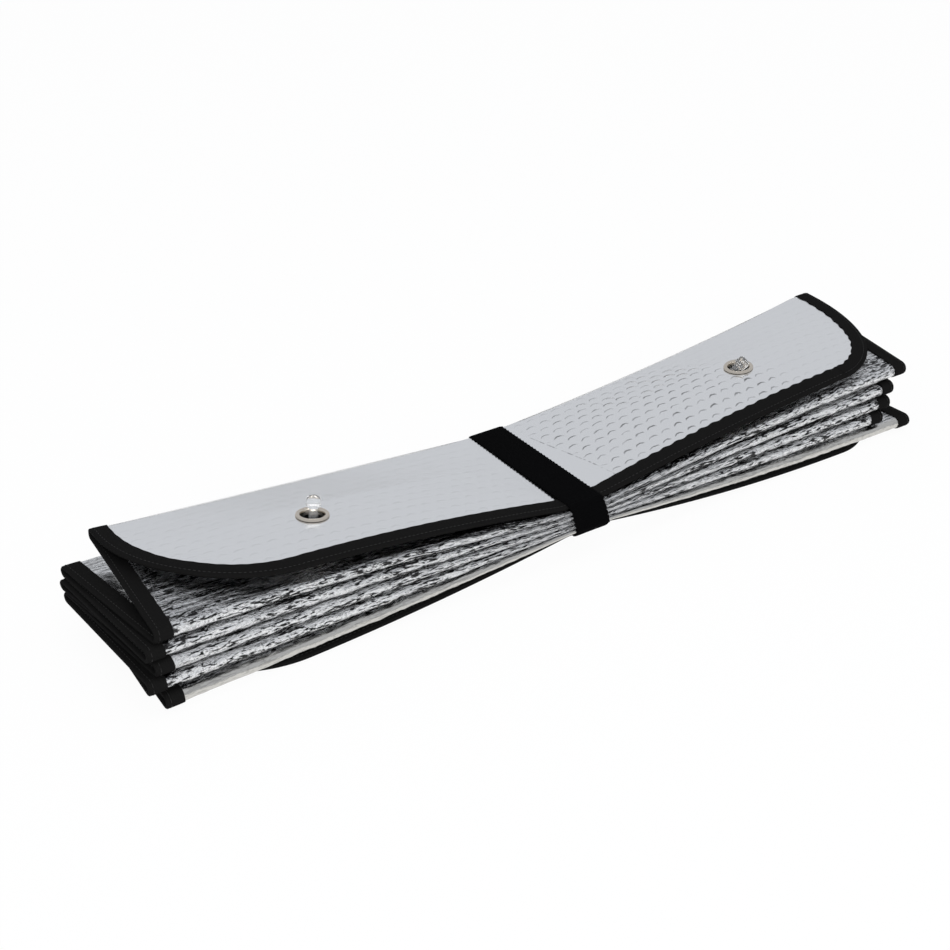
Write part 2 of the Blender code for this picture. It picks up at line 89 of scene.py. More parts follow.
End = collections.namedtuple("End", "top_fold top_edge corner arch back_bow front_bow foot_bow strays shifts")
LEFT = End(
    top_fold=0.0570,
    top_edge=0.0640,
    corner=0.090,
    arch=0.0055,
    back_bow=-0.2,
    front_bow=0.85,
    foot_bow=0.6,
    strays=(0.0, 0.0, -0.006, -0.009, -0.002, -0.006, 0.0, -0.008, 0.001),
    shifts=(0.008, 0.016, 0.005, -0.004, -0.001, -0.006, 0.003, -0.005, -0.003, 0.006, 0.006, 0.012),
)
RIGHT = End(
    top_fold=0.0635,
    top_edge=0.0620,
    corner=0.065,
    arch=0.0100,
    back_bow=-0.65,
    front_bow=0.48,
    foot_bow=1.0,
    strays=(0.0, 0.0, -0.008, -0.004, -0.007, -0.004, -0.005, -0.003, -0.004),
    shifts=(0.002, 0.001, -0.005, -0.006, -0.017, -0.010, -0.020, -0.012, -0.027, -0.006, 0.002, 0.000),
)

CORNER_ACROSS = EDGE_PANEL - CORNER_MARGIN
LAYER_PITCH = SHEET + LAYER_GAP
BOUND_HALF = SHEET / 2 + SEAT + TAPE
EDGE_PITCH = BOUND_HALF + SEAT + SHEET / 2
STRAP_RIGHT = LENGTH / 2 + STRAP_OFFSET + STRAP_WIDTH / 2
SPREAD_LEFT = STRAP_RIGHT - STRAP_WIDTH - STRAP_MARGIN
SPREAD_RIGHT = STRAP_RIGHT + STRAP_MARGIN
FOLDS = np.array([0.0] + [EDGE_PANEL + step * PANEL for step in range(PANELS - 1)] + [0.0])
FOLDS[-1] = FOLDS[-2] + EDGE_PANEL
FLAT_WIDTH = FOLDS[-1]
FOLD_HALF = math.pi * FRONT_RADIUS / 2

# Bubbles of the film: rows along the pack, each set half a pitch on from the next.
BUBBLE_PITCH = 0.0107
BUBBLE_ROWS = 0.0075
BUBBLE_START = 0.0417
BUBBLE_RADIUS = 0.0043
BUBBLE_RIM = 0.0016
BUBBLE_HEIGHT = 0.00030

# The crease of the first panel beside the strap, by its place along the pack at the free edge and the fold.
CREASE_FRONT = 0.341
CREASE_BACK = 0.318

# Where the bubbles of the first panel stop standing out: the place along the pack at its free edge, how much
# nearer the strap it comes towards the fold, and the stretch over which they fade.
STRONG_END = 0.494
STRONG_SLANT = 0.75
STRONG_FADE = 0.03

# Crumpling of the film at the front folds: its large and small facets, and the depth taken off both.
LARGE_FACET = 0.008
LARGE_DEPTH = 0.0009
SMALL_FACET = 0.0034
SMALL_DEPTH = 0.0005
FACET_FOOT = 0.0004

# The lowest front fold is smooth and painted darker, as painted shade, from this far above its fold line.
LOWEST_START = 0.0068
LOWEST_FADE = 0.0025

# The strap: the ribs across it, the scallops of its long edges and the columns of its mesh.
RIB = 0.0017
RIB_HEIGHT = 0.00028
RIB_ROOM = 0.00032
SCALLOP = 0.0034
SCALLOP_DEPTH = 0.00028
STRAP_COLUMNS = 20

# Stitching of the tape: its pitch, its distance from the tape's edge and the thickness of its thread. Each
# stitch takes some steps of the outline, comes up out of the tape and goes back into it.
STITCH = 0.0030
STITCH_INSET = 0.0022
STITCH_STEPS = 6
STITCH_LIFT = 0.00008
STITCH_SUNK = -0.00025
STITCH_RAISED = 0.00004
THREAD = 0.0004
THREAD_SIDES = 4

# Steps of the meshes: for the film across its folds and along the pack, for the tape round the outline.
Grid = collections.namedtuple("Grid", "row column")
TOP_GRID = Grid(0.0020, 0.0020)
SECOND_PANEL_GRID = Grid(0.0016, 0.0024)
FRONT_FOLD_GRID = Grid(0.0013, 0.0022)
BACK_FOLD_GRID = Grid(0.0016, 0.0040)
HIDDEN_FOLD_GRID = Grid(0.0026, 0.0080)
HIDDEN_GRID = Grid(0.0200, 0.0080)
FRONT_FOLD_REACH = 0.018
OTHER_FOLD_REACH = 0.003
OUTLINE_MARGIN = 0.0006
TAPE_STEP = 0.0016
CORNER_POINTS = 400
HULL_SIDES = 16
ROUND = 64

# The camera, as fitted to the photo: its directions in degrees, its place, and the focal length and the
# picture's width in pixels.
CAMERA_AZIMUTH = 35.79
CAMERA_ELEVATION = 30.48
CAMERA_ROLL = 1.21
CAMERA_PLACE = (-0.5782, -0.7401, 0.5807)
FOCAL_PIXELS = 1650
PICTURE_PIXELS = 950
SENSOR = 36

# Base colours.
FOIL_COLOUR = (0.90, 0.905, 0.91)
# Painted shade of the lowest front fold.
LOWEST_FOLD_SHADE_COLOUR = (0.61, 0.60, 0.57)
TAPE_COLOUR = (0.0092, 0.0090, 0.0088)
ELASTIC_COLOUR = (0.0024, 0.0024, 0.0026)
# Painted shade and painted highlight of the thread's twist.
THREAD_GROOVE_SHADE = (0.014, 0.014, 0.014)
THREAD_RIDGE_HIGHLIGHT = (0.032, 0.031, 0.030)
NICKEL_COLOUR = (0.66, 0.60, 0.52)
CLEAR_COLOUR = (0.98, 0.985, 0.99)
FLOOR_COLOUR = (0.93, 0.93, 0.93)
WHITE = (1, 1, 1, 1)

# The sky as the foil mirrors it: dark at the horizon, pale above, by the height of its direction.
HORIZON = 0.02
HORIZON_COLOUR = (0.02, 0.02, 0.022)
SKY = 0.08
SKY_COLOUR = (0.615, 0.63, 0.66)

# How much of the floor's look is plain white, so that only a faint shadow is left on it.
FLOOR_WHITE = 0.95


def lerp(a, b, t):
    return a + (b - a) * t


def smooth(t):
    t = np.clip(t, 0.0, 1.0)
    return t * t * (3 - 2 * t)


# The folded surface, as in the solids.


def is_edge(fold):
    return fold in (0, PANELS)


def least_gap(lower, upper, radius):
    if is_edge(lower) or is_edge(upper):
        return EDGE_PITCH + radius
    return 2 * radius + LAYER_PITCH


def middle_heights():
    stacks = []
    for side in (0, 1):
        folds = [fold for fold in range(PANELS, -1, -1) if fold % 2 == side]
        height = 0.0
        stack = {folds[0]: height}
        for lower, upper in zip(folds, folds[1:]):
            height += least_gap(lower, upper, LAYER_PITCH / 2)
            stack[upper] = height
        stacks.append(stack)
    tallest = max(max(stack.values()) for stack in stacks)
    foot = MIDDLE_RISE + 2 * STRAP + SEAT + BOUND_HALF
    heights = np.zeros(PANELS + 1)
    for stack in stacks:
        lift = foot + tallest - max(stack.values())
        for fold, height in stack.items():
            heights[fold] = lift + height
    return heights


def open_radius(fold):
    return BACK_RADIUS if fold % 2 else FRONT_RADIUS


def end_heights(end):
    heights = np.zeros(PANELS + 1)
    heights[PANELS] = BOUND_HALF
    heights[PANELS - 1] = BOUND_HALF + BACK_RADIUS
    foot = 3 * BOUND_HALF + SEAT + FRONT_RADIUS
    for fold in range(PANELS - 2, 0, -1):
        even = lerp(end.top_fold, foot, (fold - 1) / (PANELS - 3))
        strayed = even + end.strays[fold % len(end.strays)]
        room = 2 * (open_radius(fold) + BOUND_HALF) + SEAT
        lowest = heights[fold + 2] + room if fold < PANELS - 2 else foot
        heights[fold] = max(strayed, lowest)
    heights[0] = max(end.top_edge, heights[2] + 2 * (FRONT_RADIUS + BOUND_HALF) + SEAT)
    return heights


MIDDLE = middle_heights()
END_HEIGHTS = (end_heights(LEFT), end_heights(RIGHT))


def spread(along):
    """Whether a place is left of the strap, and how far it is on the way to that end, from 0 to 1."""
    left = along < SPREAD_LEFT
    near_left = (SPREAD_LEFT - along) / SPREAD_LEFT
    near_right = (along - SPREAD_RIGHT) / (LENGTH - RIGHT_FLAT - SPREAD_RIGHT)
    return left, np.clip(np.where(left, near_left, near_right), 0.0, 1.0)


def of_side(left, name):
    return np.where(left, getattr(LEFT, name), getattr(RIGHT, name))


def fold_radius(fold, along):
    left, reach = spread(along)
    front = fold % 2 == 0
    bow = np.where(front, of_side(left, "front_bow"), of_side(left, "back_bow"))
    rise = reach + bow * reach * (1 - reach)
    return lerp(LAYER_PITCH / 2, np.where(front, FRONT_RADIUS, BACK_RADIUS), rise)


def heights_at(along):
    """Height of every fold and free edge at each place along the pack."""
    left, reach = spread(along)
    heights = np.zeros((PANELS + 1, len(along)))
    for fold in range(PANELS, -1, -1):
        if fold >= PANELS - 1:
            near, bow = np.minimum(1.0, reach / SETTLED), 1.0
        else:
            top_bow = of_side(left, "back_bow" if fold % 2 else "front_bow")
            foot_bow = of_side(left, "foot_bow")
            near, bow = reach, lerp(foot_bow, top_bow, (PANELS - fold) / PANELS)
        rise = near + bow * near * (1 - near)
        end = np.where(left, END_HEIGHTS[0][fold], END_HEIGHTS[1][fold])
        heights[fold] = lerp(MIDDLE[fold], end, rise)
        if fold < PANELS - 1:
            lowest = heights[fold + 2] + least_gap(fold + 2, fold, fold_radius(fold, along))
            heights[fold] = np.maximum(heights[fold], lowest)
    return heights


def end_of_sheet(end, across, inset):
    shifts = np.array(end.shifts + end.shifts[:1])
    place = np.interp(across, FOLDS, np.arange(PANELS + 1))
    shift = np.interp(place, np.arange(PANELS + 1), shifts)
    return inset + shift if end is LEFT else LENGTH - inset + shift


def centre_y(fold, along):
    half_flat = (PANEL - math.pi * fold_radius(fold, along)) / 2
    return np.where(fold % 2, 1, -1) * half_flat - LEAN * fold / PANELS


def middle_points(across, along):
    """Points of the middle of the film, for arrays of places on the flat sheet."""
    count = np.arange(len(across))
    heights = heights_at(along)
    panel = np.clip(np.searchsorted(FOLDS, across), 1, PANELS)
    start = FOLDS[panel - 1] + np.where(panel == 1, 0.0, FOLD_HALF)
    stop = FOLDS[panel] - np.where(panel == PANELS, 0.0, FOLD_HALF)
    t = (across - start) / (stop - start)

    def panel_end(fold):
        side = np.where(fold % 2, 1, -1)
        inner = np.where(fold == 0, 1, PANELS - 1)
        edge_y = centre_y(inner, along) + side * (EDGE_PANEL - math.pi * fold_radius(inner, along) / 2)
        radius = fold_radius(fold, along)
        bare = (fold == 0) | (fold == PANELS)
        z = heights[fold, count] + np.where(bare, 0.0, np.where(panel == fold, radius, -radius))
        return np.where(bare, edge_y, centre_y(fold, along)), z

    y0, z0 = panel_end(panel - 1)
    y1, z1 = panel_end(panel)
    left, reach = spread(along)
    near_ramp = across / (EYELET_INSET - EYELET_SEAT)
    far_ramp = (EDGE_PANEL - across) / (EDGE_PANEL - EYELET_INSET - EYELET_SEAT)
    ramp = np.minimum(1.0, np.minimum(near_ramp, far_ramp))
    arch = of_side(left, "arch") * 4 * reach * (1 - reach) * ramp
    flat_y = lerp(y0, y1, t)
    flat_z = lerp(z0, z1, t) + np.where(panel == 1, arch, 0.0)

    fold = np.where(t < 0, panel - 1, panel)
    radius = fold_radius(fold, along)
    bent = ((t < 0) & (panel > 1)) | ((t > 1) & (panel < PANELS))
    angle = (across - FOLDS[fold]) / FOLD_HALF * math.pi / 2
    bent_y = centre_y(fold, along) + np.where(fold % 2, 1, -1) * radius * np.cos(angle)
    bent_z = heights[fold, count] - radius * np.sin(angle)
    y = np.where(bent, bent_y, flat_y)
    z = np.where(bent, bent_z, flat_z)
    return np.stack([along - LENGTH / 2, y, z], axis=1)


def film_frames(across, along, step=0.0002):
    """Points of the film's middle, the direction along the pack and the normal, for arrays of places."""
    ahead = middle_points(across, along + step)
    behind = middle_points(across, along - step)
    crosswise = middle_points(across + step, along) - middle_points(across - step, along)
    lengthwise = ahead - behind
    normal = np.cross(lengthwise, crosswise)
    normal /= np.linalg.norm(normal, axis=1, keepdims=True)
    lengthwise /= np.linalg.norm(lengthwise, axis=1, keepdims=True)
    return (ahead + behind) / 2, lengthwise, normal


def film_frame(across, along, step):
    arrays = film_frames(np.array([float(across)]), np.array([float(along)]), step)
    return [Vector(array[0]) for array in arrays]


def eyelet_along(side):
    return LENGTH / 2 + EYELET_OFFSET + side * EYELET_SPACING / 2


def eyelet_place(side):
    point, lengthwise, normal = film_frame(EYELET_INSET, eyelet_along(side), EYELET_SEAT)
    rotation = Matrix((lengthwise, normal.cross(lengthwise), normal)).transposed().to_4x4()
    return Matrix.Translation(point) @ rotation


def frame_shift():
    """From the pack's own coordinates to the part's frame, as the left washer shows it."""
    low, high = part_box("washer_left")
    own = eyelet_place(-1) @ Vector((0, 0, -(SHEET / 2 + SEAT + WASHER / 2)))
    return (low + high) / 2 - own


SHIFT = frame_shift()


# Relief of the film.


def value_noise(across, along, size, seed):
    """Smooth noise from -1 to 1 over the flat sheet, with features of the given size."""
    offset = Vector((seed * 17.3, seed * 5.1, seed * 9.7))
    return np.array([noise.noise(Vector((a / size, l / size, 0.5)) + offset) for a, l in zip(across, along)])


def crumple(across, along, size, seed):
    """Height of crumpled film, from 0 at the creases to about 1 in the middle of its facets."""
    offset = Vector((seed * 3.1, seed * 7.7, seed * 1.9))
    heights = []
    for a, l in zip(across, along):
        distances = noise.voronoi(Vector((a / size, l / size, 0.0)) + offset)[0]
        heights.append(distances[1] - distances[0])
    return np.array(heights)


def bubble_strength(across, along):
    """How far the bubbles of the first panel stand out."""
    crease = lerp(CREASE_FRONT, CREASE_BACK, across / EDGE_PANEL)
    fade = smooth((along - STRONG_END + STRONG_SLANT * across) / STRONG_FADE)
    strong = smooth((along - crease) / 0.006) * lerp(1.0, 0.10, fade)
    faint = 0.12 * (along < SPREAD_LEFT - 0.005)
    strength = np.maximum(strong, faint)
    back = lerp(1.0, 0.3, smooth((across - EDGE_PANEL + 0.022) / 0.012))
    front = smooth((across - TAPE_WIDTH - 0.0005) / 0.002)
    near_end, far_end = along - TAPE_WIDTH - 0.002, LENGTH - TAPE_WIDTH - 0.002 - along
    ends = smooth(far_end / 0.003) * smooth(near_end / 0.003)
    eyelets = np.ones(len(across))
    for side in (-1, 1):
        distance = np.hypot(across - EYELET_INSET, along - eyelet_along(side))
        eyelets *= smooth((distance - EYELET_FLANGE / 2 - 0.0005) / 0.002)
    return strength * back * front * ends * eyelets


def top_relief(across, along):
    """Relief of the side that is up on the first panel and out at the back folds."""
    sag = value_noise(across, along * 0.35, 0.022, 7)
    inside = smooth(across / TAPE_WIDTH - 1.1) * smooth((EDGE_PANEL - FOLD_HALF - across) / 0.01)
    return 0.00006 * sag * inside


def fold_nearness(across, width, first=2):
    """How near places are to every second fold from the first one given, from 0 to 1."""
    folds = FOLDS[first:PANELS:2]
    distance = np.min(np.abs(across[:, None] - folds[None, :]), axis=1)
    return 1 - smooth((distance - width) / width)


def under_relief(across, along):
    """Relief of the side that is out at the front folds, crumpled there."""
    relief = np.zeros(len(across))
    second = (across > FOLDS[1] + FOLD_HALF) & (across < FOLDS[2])
    near = np.maximum(fold_nearness(across, 0.010), 0.8 * second)
    reach = spread(along)[1]
    amount = near * lerp(0.25, 1.0, smooth(reach / 0.35))
    left, right = end_of_sheet(LEFT, across, TAPE_WIDTH), end_of_sheet(RIGHT, across, TAPE_WIDTH)
    ends = smooth((along - left) / 0.006) * smooth((right - along) / 0.006)
    chosen = amount * ends > 0.01
    a, l = across[chosen], along[chosen] * 0.5
    large = crumple(a, l, LARGE_FACET, 3)
    small = crumple(a, l, SMALL_FACET, 5)
    depth = LARGE_DEPTH * large + SMALL_DEPTH * small - FACET_FOOT
    relief[chosen] = depth * (amount * ends)[chosen]
    return relief


# Meshes.


def corner_inset(end, across):
    """How far the film's outline is from the end of a row, on the rounded corners."""
    depth = np.minimum(across, FLAT_WIDTH - across)
    cosine = np.clip(1 - depth / CORNER_ACROSS, 0.0, 1.0)
    return end.corner * (1 - np.sqrt(1 - cosine**2))


def film_zones(fine_side):
    """Zones of one side of the film, as (start, stop, grid), fine where it shows."""
    zones = []
    place = OUTLINE_MARGIN
    if fine_side == 1:
        stop = EDGE_PANEL - FOLD_HALF
        zones.append((place, stop, TOP_GRID))
        place = stop
    for fold in range(1, PANELS):
        shown = fold % 2 == fine_side
        reach = FOLD_HALF + (FRONT_FOLD_REACH if shown and fine_side == 0 else OTHER_FOLD_REACH)
        start, stop = FOLDS[fold] - reach, FOLDS[fold] + reach
        if start > place:
            zones.append((place, start, SECOND_PANEL_GRID if fold == 2 and shown else HIDDEN_GRID))
        shown_grid = FRONT_FOLD_GRID if fine_side == 0 else BACK_FOLD_GRID
        zones.append((max(start, place), stop, shown_grid if shown else HIDDEN_FOLD_GRID))
        place = stop
    zones.append((place, FLAT_WIDTH - OUTLINE_MARGIN, HIDDEN_GRID))
    return zones


def film_rows(zones):
    """Rows of the flat sheet, as (place across it, number of columns)."""
    rows = []
    for start, stop, grid in zones:
        count = max(1, round((stop - start) / grid.row))
        columns = round(LENGTH / grid.column)
        for number in range(count):
            rows.append((lerp(start, stop, number / count), columns))
    rows.append((FLAT_WIDTH - OUTLINE_MARGIN, columns))
    return rows


def zip_rows(first, second, first_at, second_at):
    """Triangles between two lines of points, each going on where its next point comes first."""
    faces = []
    i = j = 0
    while i < len(first) - 1 or j < len(second) - 1:
        at_end = j == len(second) - 1
        if at_end or (i < len(first) - 1 and first_at[i + 1] <= second_at[j + 1]):
            faces.append((first[i], first[i + 1], second[j]))
            i += 1
        else:
            faces.append((first[i], second[j + 1], second[j]))
            j += 1
    return faces


def zip_evenly(first, second):
    first_at, second_at = np.linspace(0, 1, len(first)), np.linspace(0, 1, len(second))
    return zip_rows(first.tolist(), second.tolist(), first_at, second_at)


def film_side(fine_side):
    """Places, faces and rows of one side of the film."""
    rows = film_rows(film_zones(fine_side))
    across, along, indices = [], [], []
    total = 0
    for place, columns in rows:
        start = float(end_of_sheet(LEFT, place, corner_inset(LEFT, place) + OUTLINE_MARGIN))
        stop = float(end_of_sheet(RIGHT, place, corner_inset(RIGHT, place) + OUTLINE_MARGIN))
        across.append(np.full(columns + 1, place))
        along.append(np.linspace(start, stop, columns + 1))
        indices.append(np.arange(total, total + columns + 1))
        total += columns + 1
    faces = []
    for number in range(len(rows) - 1):
        here, after = indices[number], indices[number + 1]
        if len(here) == len(after):
            quads = np.stack([here[:-1], here[1:], after[1:], after[:-1]], axis=1)
            faces += [tuple(quad) for quad in quads.tolist()]
        else:
            faces += zip_evenly(here, after)
    return np.concatenate(across), np.concatenate(along), faces, indices, [row[0] for row in rows]


def add_object(name, data):
    thing = bpy.data.objects.new(name, data)
    bpy.context.scene.collection.objects.link(thing)
    return thing


def new_piece(name, points, faces, material, replaced=(), smooth_angle=None):
    mesh = bpy.data.meshes.new(name)
    mesh.from_pydata((np.asarray(points) + np.array(SHIFT)).tolist(), [], faces)
    mesh.update()
    piece = add_object(name, mesh)
    return finish_piece(piece, material, replaced, smooth_angle)


def finish_piece(piece, material, replaced=(), smooth_angle=None):
    piece.data.materials.clear()
    piece.data.materials.append(material)
    piece.data.shade_smooth()
    if smooth_angle:
        piece.data.set_sharp_from_angle(angle=math.radians(smooth_angle))
    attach(piece, "root")
    if replaced:
        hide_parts(*replaced)
    return piece


def outward(piece):
    """Turns all faces of a closed mesh outwards."""
    mesh = bmesh.new()
    mesh.from_mesh(piece.data)
    bmesh.ops.recalc_face_normals(mesh, faces=mesh.faces)
    mesh.to_mesh(piece.data)
    mesh.free()


def set_uv(piece, places):
    """A UV map in metres from one (u, v) pair for each vertex."""
    layer = piece.data.uv_layers.new(name="flat")
    corners = np.zeros(len(piece.data.loops), np.int32)
    piece.data.loops.foreach_get("vertex_index", corners)
    layer.data.foreach_set("uv", np.asarray(places, np.float32)[corners].ravel())


def set_attribute(piece, name, values):
    attribute = piece.data.attributes.new(name, "FLOAT", "POINT")
    attribute.data.foreach_set("value", np.asarray(values, np.float32))


def make_foil(material):
    """The film: both of its sides, joined along the outline, with the eyelets' holes cut."""
    across_a, along_a, faces_a, rows_a, at_a = film_side(1)
    across_b, along_b, faces_b, rows_b, at_b = film_side(0)
    point, _, normal = film_frames(across_a, along_a)
    top = point + normal * (SHEET / 2 + top_relief(across_a, along_a))[:, None]
    point, _, normal = film_frames(across_b, along_b)
    under = point - normal * (SHEET / 2 + under_relief(across_b, along_b))[:, None]
    count = len(top)
    faces = faces_a + [tuple(count + index for index in face[::-1]) for face in faces_b]
    for end in (0, -1):
        line_a = [int(row[end]) for row in rows_a]
        line_b = [count + int(row[end]) for row in rows_b]
        faces += zip_rows(line_a, line_b, at_a, at_b)
        faces += zip_evenly(rows_a[end], rows_b[end] + count)
    foil = new_piece("foil", np.concatenate([top, under]), faces, material, ["foil_sheet"])
    across, along = np.concatenate([across_a, across_b]), np.concatenate([along_a, along_b])
    set_uv(foil, np.stack([along, across], axis=1))
    second = (across_b > FOLDS[1] + FOLD_HALF) & (across_b < FOLDS[2])
    lowest = smooth((across_b - FOLDS[-3] + LOWEST_START) / LOWEST_FADE)
    folded = np.maximum(fold_nearness(across_b, 0.012), second) * lerp(1.0, 0.2, lowest)
    inside = smooth((across_a - EDGE_PANEL) / 0.004) * (across_a < FOLDS[2])
    at_back = 0.6 * fold_nearness(across_a, 0.008, first=3) + 0.3 * inside
    set_attribute(foil, "crumpled", np.concatenate([at_back, folded]))
    bubbly = np.where(across_a < EDGE_PANEL, bubble_strength(across_a, along_a), 0.3)
    set_attribute(foil, "bubbly", np.concatenate([bubbly, 0.6 * second]))
    # Mask of the lowest front fold, where the material paints shade.
    set_attribute(foil, "lowest", np.concatenate([np.zeros(len(across_a)), lowest]))
    outward(foil)
    for side in (-1, 1):
        cut_hole(foil, Matrix.Translation(SHIFT) @ eyelet_place(side))


def cut_hole(piece, place):
    bpy.ops.mesh.primitive_cylinder_add(
        vertices=ROUND, radius=EYELET_BORE / 2 + EYELET_METAL + SEAT, depth=6 * SHEET
    )
    cutter = bpy.context.object
    cutter.matrix_world = place
    modifier = piece.modifiers.new("hole", "BOOLEAN")
    modifier.operation = "DIFFERENCE"
    modifier.solver = "EXACT"
    modifier.object = cutter
    apply_modifiers(piece)
    bpy.data.objects.remove(cutter)


def apply_modifiers(piece):
    bpy.context.view_layer.update()
    evaluated = piece.evaluated_get(bpy.context.evaluated_depsgraph_get())
    mesh = bpy.data.meshes.new_from_object(evaluated)
    piece.modifiers.clear()
    piece.data = mesh


Edge = collections.namedtuple("Edge", "across along inwards_across inwards_along at")


def outline(step):
    """Places once round the sheet's outline, each with its direction inwards and its distance round."""
    turns = np.linspace(0.0, math.pi / 2, CORNER_POINTS)
    corner = {}
    for end in (LEFT, RIGHT):
        corner[end] = [
            (CORNER_ACROSS * (1 - math.cos(turn)), end.corner * (1 - math.sin(turn))) for turn in turns
        ]
    # Once round as (across, along) places: both corners of the right end, then both of the left end.
    round_it = [(depth, LENGTH - inset) for depth, inset in corner[RIGHT]]
    round_it += [(FLAT_WIDTH - depth, LENGTH - inset) for depth, inset in reversed(corner[RIGHT])]
    round_it += [(FLAT_WIDTH - depth, inset) for depth, inset in corner[LEFT]]
    round_it += [(depth, inset) for depth, inset in reversed(corner[LEFT])]
    across, along = np.array(round_it + round_it[:1]).T
    at = np.concatenate([[0.0], np.cumsum(np.hypot(np.diff(across), np.diff(along)))])
    count = round(at[-1] / step)
    places = np.linspace(0.0, at[-1], count, endpoint=False)
    across, along = np.interp(places, at, across), np.interp(places, at, along)
    ahead = np.roll(across, -1) - np.roll(across, 1), np.roll(along, -1) - np.roll(along, 1)
    length = np.hypot(*ahead)
    into_across, into_along = ahead[1] / length, -ahead[0] / length
    shift_left = end_of_sheet(LEFT, across, 0.0)
    shift_right = end_of_sheet(RIGHT, across, 0.0) - LENGTH
    weight = smooth((along - LEFT.corner) / (LENGTH - LEFT.corner - RIGHT.corner))
    return Edge(across, along + lerp(shift_left, shift_right, weight), into_across, into_along, places)


def inset_frames(edge, depth):
    """The film's frames all round the outline, at a depth inwards from it."""
    return film_frames(edge.across + depth * edge.inwards_across, edge.along + depth * edge.inwards_along)


def ring_faces(rows, wide):
    """Quads between closed sections of points that follow one another round a closed line."""
    faces = []
    for row in range(rows):
        here, after = row * wide, (row + 1) % rows * wide
        for column in range(wide):
            beside = (column + 1) % wide
            faces.append((here + column, here + beside, after + beside, after + column))
    return faces


def band_round(edge, section):
    """Points and quads of a closed section of (depth, height) pairs, led once round the outline."""
    columns = []
    for depth, height in section:
        point, _, normal = inset_frames(edge, depth)
        columns.append(point + normal * height)
    points = np.stack(columns, axis=1).reshape(-1, 3)
    return points, ring_faces(len(edge.across), len(section))


def make_binding(material):
    """The tape round the edge, pressed over the bubbles so that its inner edges are wavy."""
    edge = outline(TAPE_STEP)
    inner, outer = SHEET / 2 + SEAT, BOUND_HALF
    over_bubbles = (edge.across < EDGE_PANEL) * smooth((edge.along - CREASE_FRONT) / 0.02)
    wave = 0.0005 * np.sin(edge.at / BUBBLE_PITCH * math.tau)
    wave += 0.0004 * value_noise(edge.at, edge.at * 0, 0.007, 2)
    width = TAPE_WIDTH - 0.0004 + wave * lerp(0.25, 1.0, over_bubbles)
    turn = SEAT + TAPE
    upper = [(width, outer), (width * 0.66, outer + 0.0001), (width * 0.33, outer + 0.0001), (0.0, outer)]
    round_edge = [(-turn * 0.75, outer * 0.6), (-turn, 0.0), (-turn * 0.75, -outer * 0.6)]
    lower = [(depth, -height) for depth, height in reversed(upper)]
    inside = [(width, -inner), (0.0, -inner), (-SEAT, 0.0), (0.0, inner), (width, inner)]
    section = upper + round_edge + lower + inside
    points, faces = band_round(edge, section)
    binding = new_piece("binding", points, faces, material, ["edge_binding"], 50)
    # How far round the tape each point of the section lies, for its weave.
    upper_run = [TAPE_WIDTH, 0.0073, 0.0036, 0.0]
    lower_run = [-0.003 - run for run in reversed(upper_run)]
    run = upper_run + [-0.001, -0.0015, -0.002] + lower_run + [0.014, 0.003, 0.0, 0.003, TAPE_WIDTH]
    set_uv(binding, np.stack([np.repeat(edge.at, len(section)), np.tile(run, len(edge.at))], axis=1))
    outward(binding)
    return binding


def make_stitches(material):
    """Two rows of stitches along the tape, one on each side of the film."""
    edge = outline(STITCH / STITCH_STEPS)
    point, _, normal = inset_frames(edge, STITCH_INSET)
    inwards, _, _ = inset_frames(edge, STITCH_INSET + 0.001)
    beside = inwards - point
    beside /= np.linalg.norm(beside, axis=1, keepdims=True)
    corners = math.tau * (np.arange(THREAD_SIDES) + 0.5) / THREAD_SIDES
    rings = ((0, STITCH_SUNK), (1, STITCH_RAISED), (3, STITCH_RAISED), (4, STITCH_SUNK))
    points, faces = [], []
    for side in (1, -1):
        centre = point + normal * side * (BOUND_HALF + STITCH_LIFT)
        for start in range(0, len(centre) - STITCH_STEPS + 1, STITCH_STEPS):
            first = len(points)
            for step, rise in rings:
                place = start + step
                middle = centre[place] + normal[place] * side * rise
                for angle in corners:
                    out = beside[place] * math.cos(angle) + normal[place] * math.sin(angle)
                    points.append(middle + out * THREAD / 2)
            for ring in range(len(rings) - 1):
                here = first + ring * THREAD_SIDES
                for turn in range(THREAD_SIDES):
                    near, after = here + turn, here + (turn + 1) % THREAD_SIDES
                    faces.append((near, after, after + THREAD_SIDES, near + THREAD_SIDES))
            faces.append(tuple(range(first + THREAD_SIDES - 1, first - 1, -1)))
            faces.append(tuple(range(len(points) - THREAD_SIDES, len(points))))
    stitches = new_piece("stitches", points, faces, material)
    outward(stitches)
    return stitches


def pack_outline(along, margin):
    """The convex outline round the pack's section, a margin clear of it, as (Y, Z) points."""
    place = np.array([along])
    heights = heights_at(place)[:, 0]
    points = []
    for fold in range(PANELS + 1):
        side = 1 if fold % 2 else -1
        z = heights[fold]
        if is_edge(fold):
            inner = 1 if fold == 0 else PANELS - 1
            reach = EDGE_PANEL - math.pi * float(fold_radius(inner, place)[0]) / 2
            y = float(centre_y(inner, place)[0]) + side * (reach + SEAT + TAPE)
            discs = [(y, z + BOUND_HALF, margin), (y, z - BOUND_HALF, margin)]
        else:
            radius = float(fold_radius(fold, place)[0]) + SHEET / 2
            discs = [(float(centre_y(fold, place)[0]), z, radius + margin)]
        for y, z, size in discs:
            for angle in np.arange(HULL_SIDES) * math.tau / HULL_SIDES:
                points.append(Vector((y + size * math.cos(angle), z + size * math.sin(angle))))
    return [points[index] for index in convex_hull_2d(points)]


